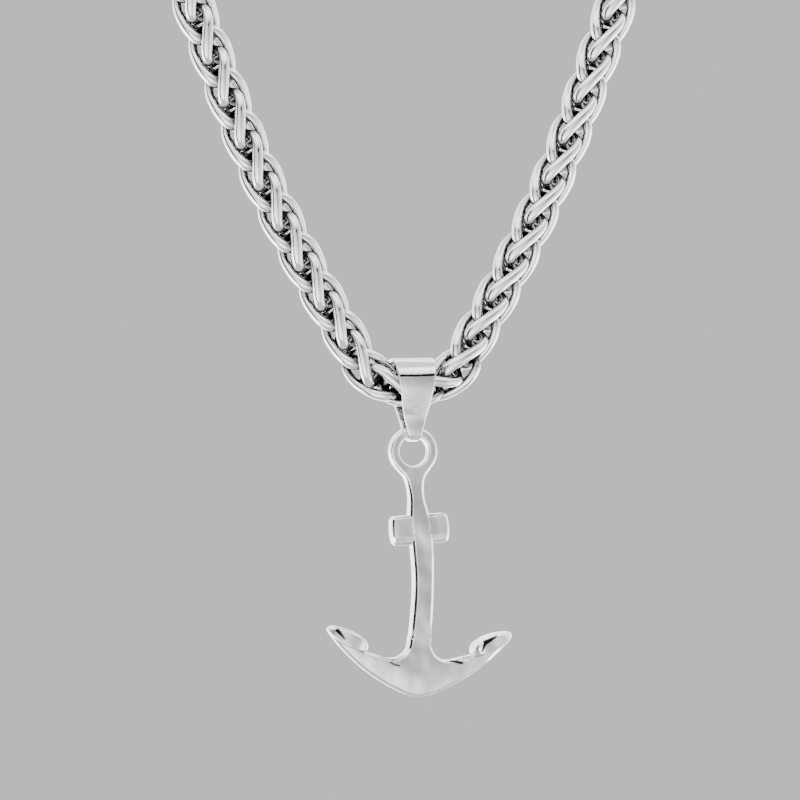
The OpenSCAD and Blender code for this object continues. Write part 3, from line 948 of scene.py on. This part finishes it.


# How far from the chain's axis the painted shade inside the chain is full and where it has faded out, and
# its colour
INSIDE_REACH = 1.5 * MM
OUTSIDE_REACH = 2.35 * MM
PAINTED_SHADE_COLOUR = "3A3A3C"
# Near-black colour of the painted dark reflections on the casting's front
PAINTED_REFLECTION_COLOUR = "101011"
# How much of its cell a pit of the casting takes
PIT_SIZE = 0.16


def drawn_wire_steel(colour):
    """Stainless wire, drawn and tumbled bright: clear reflections, with hair-fine lines along the wire.

    The lines are about 0.15 mm apart across the wire, which is as coarse as they need to be to show.
    Towards the inside of the chain the wire's colour darkens: painted shade where the wires crowd and shade
    each other.
    """
    material, tree, shader = new_material("bright_drawn_steel_wire", colour)
    # Painted shade: the steel colour rises from the dark colour at the inner reach to full at the outer
    # reach
    reach = add_node(tree, "ShaderNodeAttribute", {"attribute_name": "Reach"})
    polished = add_node(
        tree,
        "ShaderNodeMapRange",
        {"From Min": INSIDE_REACH, "From Max": OUTSIDE_REACH},
        {"Value": reach.outputs["Fac"]},
    )
    mix_colours(tree, shader, polished.outputs[0], linear(PAINTED_SHADE_COLOUR), colour)
    wire = add_node(tree, "ShaderNodeUVMap", {"uv_map": "Wire"})
    stretch = add_node(
        tree, "ShaderNodeMapping", {"Scale": (260, 6500, 1)}, {"Vector": wire.outputs[0]}
    )
    lines = add_node(
        tree, "ShaderNodeTexNoise", {"Scale": 1.0, "Detail": 3.0}, {"Vector": stretch.outputs[0]}
    )
    place = add_node(tree, "ShaderNodeTexCoord")
    tumble = add_node(
        tree, "ShaderNodeTexNoise", {"Scale": 900.0, "Detail": 4.0}, {"Vector": place.outputs["Object"]}
    )
    vary_roughness(tree, shader, tumble, 0.11, 0.19)
    emboss(tree, shader, (lines.outputs[0], 0.12, 0.04 * MM), (tumble.outputs[0], 0.2, 0.05 * MM))
    return material


def rolled_strip_steel(colour):
    """Stainless strip, rolled and buffed: clear reflections, with faint lines across the strap."""
    material, tree, shader = new_material("buffed_rolled_steel_strip", colour)
    place = add_node(tree, "ShaderNodeTexCoord")
    stretch = add_node(
        tree, "ShaderNodeMapping", {"Scale": (300, 5200, 5200)}, {"Vector": place.outputs["Object"]}
    )
    lines = add_node(
        tree, "ShaderNodeTexNoise", {"Scale": 1.0, "Detail": 3.0}, {"Vector": stretch.outputs[0]}
    )
    cloud = add_node(
        tree, "ShaderNodeTexNoise", {"Scale": 420.0, "Detail": 2.0}, {"Vector": place.outputs["Object"]}
    )
    vary_roughness(tree, shader, lines, 0.04, 0.08)
    emboss(tree, shader, (lines.outputs[0], 0.06, 0.04 * MM), (cloud.outputs[0], 0.25, 0.15 * MM))
    return material


def cast_polished_steel(colour):
    """Stainless investment casting, tumbled and hand polished.

    Slow waves 2 to 4 mm long bend its reflections, fine grain 0.1 mm across softens them, and there are
    a few shallow pits under 0.2 mm across. Dark reflections are painted in strokes on its front.
    """
    material, tree, shader = new_material("hand_polished_cast_steel", colour)
    # The Scale attribute carries the painted dark reflections; the colour goes to near black there
    dark_reflection = add_node(tree, "ShaderNodeAttribute", {"attribute_name": "Scale"})
    mix_colours(tree, shader, dark_reflection.outputs["Fac"], colour, linear(PAINTED_REFLECTION_COLOUR))
    place = add_node(tree, "ShaderNodeTexCoord")
    vector = {"Vector": place.outputs["Object"]}
    tall = add_node(tree, "ShaderNodeMapping", {"Scale": (260, 260, 220)}, vector)
    wave = add_node(
        tree, "ShaderNodeTexNoise", {"Scale": 1.0, "Detail": 1.0}, {"Vector": tall.outputs[0]}
    )
    grain = add_node(tree, "ShaderNodeTexNoise", {"Scale": 9000.0, "Detail": 3.0}, vector)
    cloud = add_node(tree, "ShaderNodeTexNoise", {"Scale": 700.0, "Detail": 3.0}, vector)
    cell = add_node(tree, "ShaderNodeTexVoronoi", {"Scale": 1500.0, "Randomness": 1.0}, vector)
    pit = add_node(
        tree, "ShaderNodeMapRange", {"From Max": PIT_SIZE}, {"Value": cell.outputs["Distance"]}
    )
    vary_roughness(tree, shader, cloud, 0.08, 0.18)
    emboss(
        tree,
        shader,
        (wave.outputs[0], 0.9, 0.6 * MM),
        (pit.outputs[0], 0.05, 0.06 * MM),
        (grain.outputs[0], 0.04, 0.02 * MM),
    )
    return material


def studio_paper(colour):
    """Matt studio paper: no gloss, with a faint fibre mottle a few millimetres across."""
    material, tree, shader = new_material("matt_studio_paper", colour, Roughness=0.9)
    shader.inputs["Metallic"].default_value = 0.0
    place = add_node(tree, "ShaderNodeTexCoord")
    fibre = add_node(
        tree, "ShaderNodeTexNoise", {"Scale": 400.0, "Detail": 5.0}, {"Vector": place.outputs["Object"]}
    )
    bump = add_node(
        tree, "ShaderNodeBump", {"Strength": 0.05, "Distance": 0.0002}, {"Height": fibre.outputs[0]}
    )
    tree.links.new(bump.outputs[0], shader.inputs["Normal"])
    return material


# The studio

# The photograph: where the eye's centre shows, the size of a millimetre, and how the camera is held
PICTURE_PX = 800
EYE_PX = (412.6, 451.2)
PX_PER_MM = 7.15
VIEW_AZIMUTH = math.radians(-13)
VIEW_ROLL = math.radians(0.8)
LENS_MM = 180
SENSOR_MM = 36
FLOOR_Z = -0.42
FLOOR_R = 0.30

# The studio that the metal mirrors, as rows of an angle in degrees and a brightness.
# Round the horizon from behind, by the left, the front (0) and the right: a black card stands at the left.
ROUND_LIGHT = (
    (-180, 5.0), (-105, 5.6), (-96, 4.4), (-91, 0.04), (-66, 0.04), (-61, 2.4), (-42, 3.0), (-20, 2.7),
    (2, 1.7), (13, 1.15), (24, 1.05), (36, 1.4), (48, 2.6), (60, 2.4), (72, 2.0), (85, 3.6), (110, 5.4),
    (180, 5.0),
)
# What that is multiplied by from the nadir up to the overhead panel
LOW_LIGHT = (
    (-90, 1.7), (-50, 1.8), (-30, 1.8), (-16, 1.5), (-4, 1.1), (4, 0.88), (10, 0.8), (17, 0.85), (21, 0.6),
    (27, 0.6), (31, 0.0), (90, 0.0),
)
# How much a thin black card over the camera covers, by angle round the horizon and by height
CARD_ROUND = ((-180, 0.0), (-6, 0.0), (-2, 1.0), (27, 1.0), (31, 0.0), (180, 0.0))
CARD_HIGH = ((-90, 0.0), (16, 0.0), (18, 1.0), (25, 1.0), (27, 0.0), (90, 0.0))
# The overhead panel, from its front edge up
TOP_LIGHT = ((-90, 0.0), (26, 0.0), (33, 3.6), (56, 5.0), (66, 2.0), (90, 2.0))
# What a ramp's full white stands for
BRIGHTEST = 8.0


def make_camera():
    """A long lens at the photograph's angle, held a little turned, with the eye where the picture has it."""
    back = Vector((math.sin(VIEW_AZIMUTH), -math.cos(VIEW_AZIMUTH), 0))
    level = Vector((math.cos(VIEW_AZIMUTH), math.sin(VIEW_AZIMUTH), 0))
    right = level * math.cos(VIEW_ROLL) - Vector((0, 0, math.sin(VIEW_ROLL)))
    up = back.cross(right)
    per_mm = MM / PX_PER_MM
    aim = Vector(EYE) + right * (PICTURE_PX / 2 - EYE_PX[0]) * per_mm
    aim = aim + up * (EYE_PX[1] - PICTURE_PX / 2) * per_mm
    away = PICTURE_PX * per_mm * LENS_MM / SENSOR_MM
    camera = bpy.data.objects.new("camera", bpy.data.cameras.new("camera"))
    camera.data.lens = LENS_MM
    camera.data.sensor_width = SENSOR_MM
    camera.data.clip_start = 0.01
    turn = Matrix((right, up, back)).transposed().to_4x4()
    camera.matrix_world = Matrix.Translation(aim + back * away) @ turn
    bpy.context.scene.collection.objects.link(camera)
    bpy.context.scene.camera = camera


def light_by_angle(tree, angle, turn, rows):
    """A brightness looked up by an angle whose range is one turn, from rows of degrees and brightness."""
    place = add_node(
        tree, "ShaderNodeMapRange", {"From Min": -turn / 2, "From Max": turn / 2}, {"Value": angle}
    )
    ramp = add_node(tree, "ShaderNodeValToRGB", links={0: place.outputs[0]})
    marks = ramp.color_ramp.elements
    inner = [marks.new(math.radians(degrees) / turn + 0.5) for degrees, _ in rows[1:-1]]
    for mark, (_, brightness) in zip((marks[0], *inner, marks[len(rows) - 1]), rows):
        mark.color = (brightness / BRIGHTEST,) * 3 + (1,)
    light = add_node(
        tree, "ShaderNodeMath", {"operation": "MULTIPLY", 1: BRIGHTEST}, {0: ramp.outputs[0]}
    )
    return light.outputs[0]


def make_world(back_colour):
    """Soft studio light that the metal mirrors, and a pale backdrop that the camera sees.

    Brightness is (round light times low light, plus the overhead panel) times what the card leaves.
    """
    world = bpy.data.worlds.new("studio")
    world.use_nodes = True
    tree = world.node_tree
    tree.nodes.clear()
    place = add_node(tree, "ShaderNodeTexCoord")
    axes = add_node(tree, "ShaderNodeSeparateXYZ", links={0: place.outputs["Generated"]})
    x, y, z = axes.outputs
    front = add_node(tree, "ShaderNodeMath", {"operation": "MULTIPLY", 1: -1.0}, {0: y})
    azimuth = add_node(tree, "ShaderNodeMath", {"operation": "ARCTAN2"}, {0: x, 1: front.outputs[0]})
    height = add_node(tree, "ShaderNodeMath", {"operation": "ARCSINE"}, {0: z})
    round_light, card_round = [
        light_by_angle(tree, azimuth.outputs[0], 2 * math.pi, rows) for rows in (ROUND_LIGHT, CARD_ROUND)
    ]
    low_light, top_light, card_high = [
        light_by_angle(tree, height.outputs[0], math.pi, rows) for rows in (LOW_LIGHT, TOP_LIGHT, CARD_HIGH)
    ]
    light = add_node(
        tree, "ShaderNodeMath", {"operation": "MULTIPLY_ADD"}, {0: round_light, 1: low_light, 2: top_light}
    )
    card = add_node(tree, "ShaderNodeMath", {"operation": "MULTIPLY"}, {0: card_round, 1: card_high})
    left = add_node(tree, "ShaderNodeMath", {"operation": "SUBTRACT", 0: 1.0}, {1: card.outputs[0]})
    brightness = add_node(
        tree, "ShaderNodeMath", {"operation": "MULTIPLY"}, {0: light.outputs[0], 1: left.outputs[0]}
    )
    studio = add_node(
        tree, "ShaderNodeBackground", {"Color": (1, 1, 1, 1)}, {"Strength": brightness.outputs[0]}
    )
    pale = add_node(tree, "ShaderNodeBackground", {"Color": (*back_colour, 1), "Strength": 1.0})
    path = add_node(tree, "ShaderNodeLightPath")
    mix = add_node(
        tree,
        "ShaderNodeMixShader",
        links={0: path.outputs["Is Camera Ray"], 1: studio.outputs[0], 2: pale.outputs[0]},
    )
    add_node(tree, "ShaderNodeOutputWorld", links={"Surface": mix.outputs[0]})
    bpy.context.scene.world = world


def make_floor(floor_colour):
    """A round floor of matt paper, well below the pendant."""
    turn = np.arange(96) * 2 * math.pi / 96
    rim = np.stack([FLOOR_R * np.cos(turn), FLOOR_R * np.sin(turn) + EYE[1] / 2, 0 * turn + FLOOR_Z], -1)
    mesh = bpy.data.meshes.new("floor")
    mesh.from_pydata(rim.tolist(), [], [list(range(96))])
    mesh.materials.append(studio_paper(floor_colour))
    floor = bpy.data.objects.new("floor", mesh)
    bpy.context.scene.collection.objects.link(floor)


# Operators, one for each piece or group of like pieces

class MakeChain(bpy.types.Operator):
    """Makes both halves of the wheat chain."""

    bl_idname = "necklace.make_chain"
    bl_label = "Make chain"

    def execute(self, context):
        settings = context.scene.necklace
        steel = drawn_wire_steel(settings.finish.wire_colour)
        last = settings.chain.each_side
        for name, first, end in (("right", 0, last), ("left", -last, -1)):
            points, reach = link_run(settings, first, end)
            quads, uv = link_quads_and_uv(settings.chain, end - first + 1)
            # Reach from the chain's axis sets the painted shade inside the chain
            piece = make_piece(
                f"wheat_chain_{name}", points.reshape(-1, 3), quads, uv, values={"Reach": reach}
            )
            settle(piece, "necklace", f"chain_{name}", steel)
        return {"FINISHED"}


class MakeBail(bpy.types.Operator):
    """Makes the folded strap that hangs on the chain."""

    bl_idname = "necklace.make_bail"
    bl_label = "Make bail"

    def execute(self, context):
        settings = context.scene.necklace
        points = strap_surface(settings.bail)
        rows, columns = points.shape[:2]
        piece = make_piece("strap_bail", points.reshape(-1, 3), grid_quads(rows, columns))
        settle(piece, "bail", "bail", rolled_strip_steel(settings.finish.strap_colour))
        return {"FINISHED"}


class MakeAnchor(bpy.types.Operator):
    """Makes the cast anchor."""

    bl_idname = "necklace.make_anchor"
    bl_label = "Make anchor"

    def execute(self, context):
        settings = context.scene.necklace
        anchor = settings.anchor
        margin = 3 * anchor.cell
        low = (
            -anchor.arm_span - GRID_BEYOND - margin,
            -GRID_HALF_DEPTH - margin,
            -anchor.crown_drop - margin,
        )
        high = (-low[0], -low[1], anchor.eye_outer_r + margin)
        points, quads, normals = zero_surface(
            lambda x, y, z: anchor_distance(anchor, x, y, z), low, high, anchor.cell
        )
        # The share of painted dark reflection at each point, kept in the Scale attribute
        dark_reflection = painted_reflection_share(*points.T)
        piece = make_piece("cast_anchor", points + EYE, quads, values={"Scale": dark_reflection}, normals=normals)
        settle(piece, "anchor", "anchor", cast_polished_steel(settings.finish.cast_colour))
        return {"FINISHED"}


class MakeFastening(bpy.types.Operator):
    """Makes the rings and the closed clasp at the nape."""

    bl_idname = "necklace.make_fastening"
    bl_label = "Make fastening"

    def execute(self, context):
        settings = context.scene.necklace
        sizes = settings.fastening
        steel = cast_polished_steel(settings.finish.wire_colour)
        places = fastening_places(settings)
        jump_ring = (sizes.ring_r, sizes.ring_wire, sizes.ring_cut)
        rings = {
            "jump_ring_right": (places["right"], JUMP_RING_TURN, *jump_ring),
            "jump_ring_left": (places["left"], -JUMP_RING_TURN, *jump_ring),
            "end_ring": (places["end"], END_RING_TURN, sizes.end_r, sizes.end_wire, 0),
        }
        for node, (at, turn, radius, wire, cut) in rings.items():
            points, quads, caps = ring_surface(radius, wire, cut)
            points = place_on_loop(settings, points, at, math.radians(turn))
            piece = make_piece(f"steel_{node}", points, quads, caps=caps)
            settle(piece, "necklace", node, steel)
        drop = places["clasp"] - places["tail"]
        cell = settings.anchor.cell
        reach = drop + sizes.tail_r + sizes.tail_wire
        points, quads, _ = zero_surface(
            lambda x, y, z: clasp_distance(sizes, drop, x, y, z),
            (-sizes.clasp_top_r - 3 * cell, -sizes.clasp_t - cell, -reach - cell),
            (sizes.clasp_top_r + 3 * cell, sizes.clasp_t + cell, sizes.clasp_l / 2 + 3 * cell),
            cell,
        )
        points = place_on_loop(settings, points, places["clasp"], math.radians(CLASP_TURN))
        piece = make_piece("closed_clasp", points, quads)
        settle(piece, "necklace", "clasp", steel)
        return {"FINISHED"}


class MakeStage(bpy.types.Operator):
    """Makes the floor, the light and the camera."""

    bl_idname = "necklace.make_stage"
    bl_label = "Make stage"

    def execute(self, context):
        finish = context.scene.necklace.finish
        make_camera()
        make_world(finish.back_colour)
        make_floor(finish.floor_colour)
        return {"FINISHED"}


class NecklacePanel(bpy.types.Panel):
    """Lists the necklace's operators and settings."""

    bl_idname = "VIEW3D_PT_necklace"
    bl_label = "Anchor pendant necklace"
    bl_space_type = "VIEW_3D"
    bl_region_type = "UI"
    bl_category = "Necklace"

    def draw(self, context):
        for operator in OPERATORS:
            self.layout.operator(operator.bl_idname)
        settings = context.scene.necklace
        for group in (settings.chain, settings.bail, settings.anchor, settings.finish):
            box = self.layout.box()
            for key in group.bl_rna.properties.keys()[2:]:
                box.prop(group, key)


GROUPS = (
    ChainSettings, LoopSettings, BailSettings, AnchorSettings, FasteningSettings, FinishSettings,
    NecklaceSettings,
)
OPERATORS = (MakeStage, MakeChain, MakeBail, MakeAnchor, MakeFastening)


def register():
    for cls in (*GROUPS, *OPERATORS, NecklacePanel):
        bpy.utils.register_class(cls)
    bpy.types.Scene.necklace = PointerProperty(type=NecklaceSettings)


def unregister():
    del bpy.types.Scene.necklace
    for cls in reversed((*GROUPS, *OPERATORS, NecklacePanel)):
        bpy.utils.unregister_class(cls)


def main():
    register()
    bpy.ops.necklace.make_stage()
    bpy.ops.necklace.make_chain()
    bpy.ops.necklace.make_bail()
    bpy.ops.necklace.make_anchor()
    bpy.ops.necklace.make_fastening()


if __name__ == "__main__":
    main()
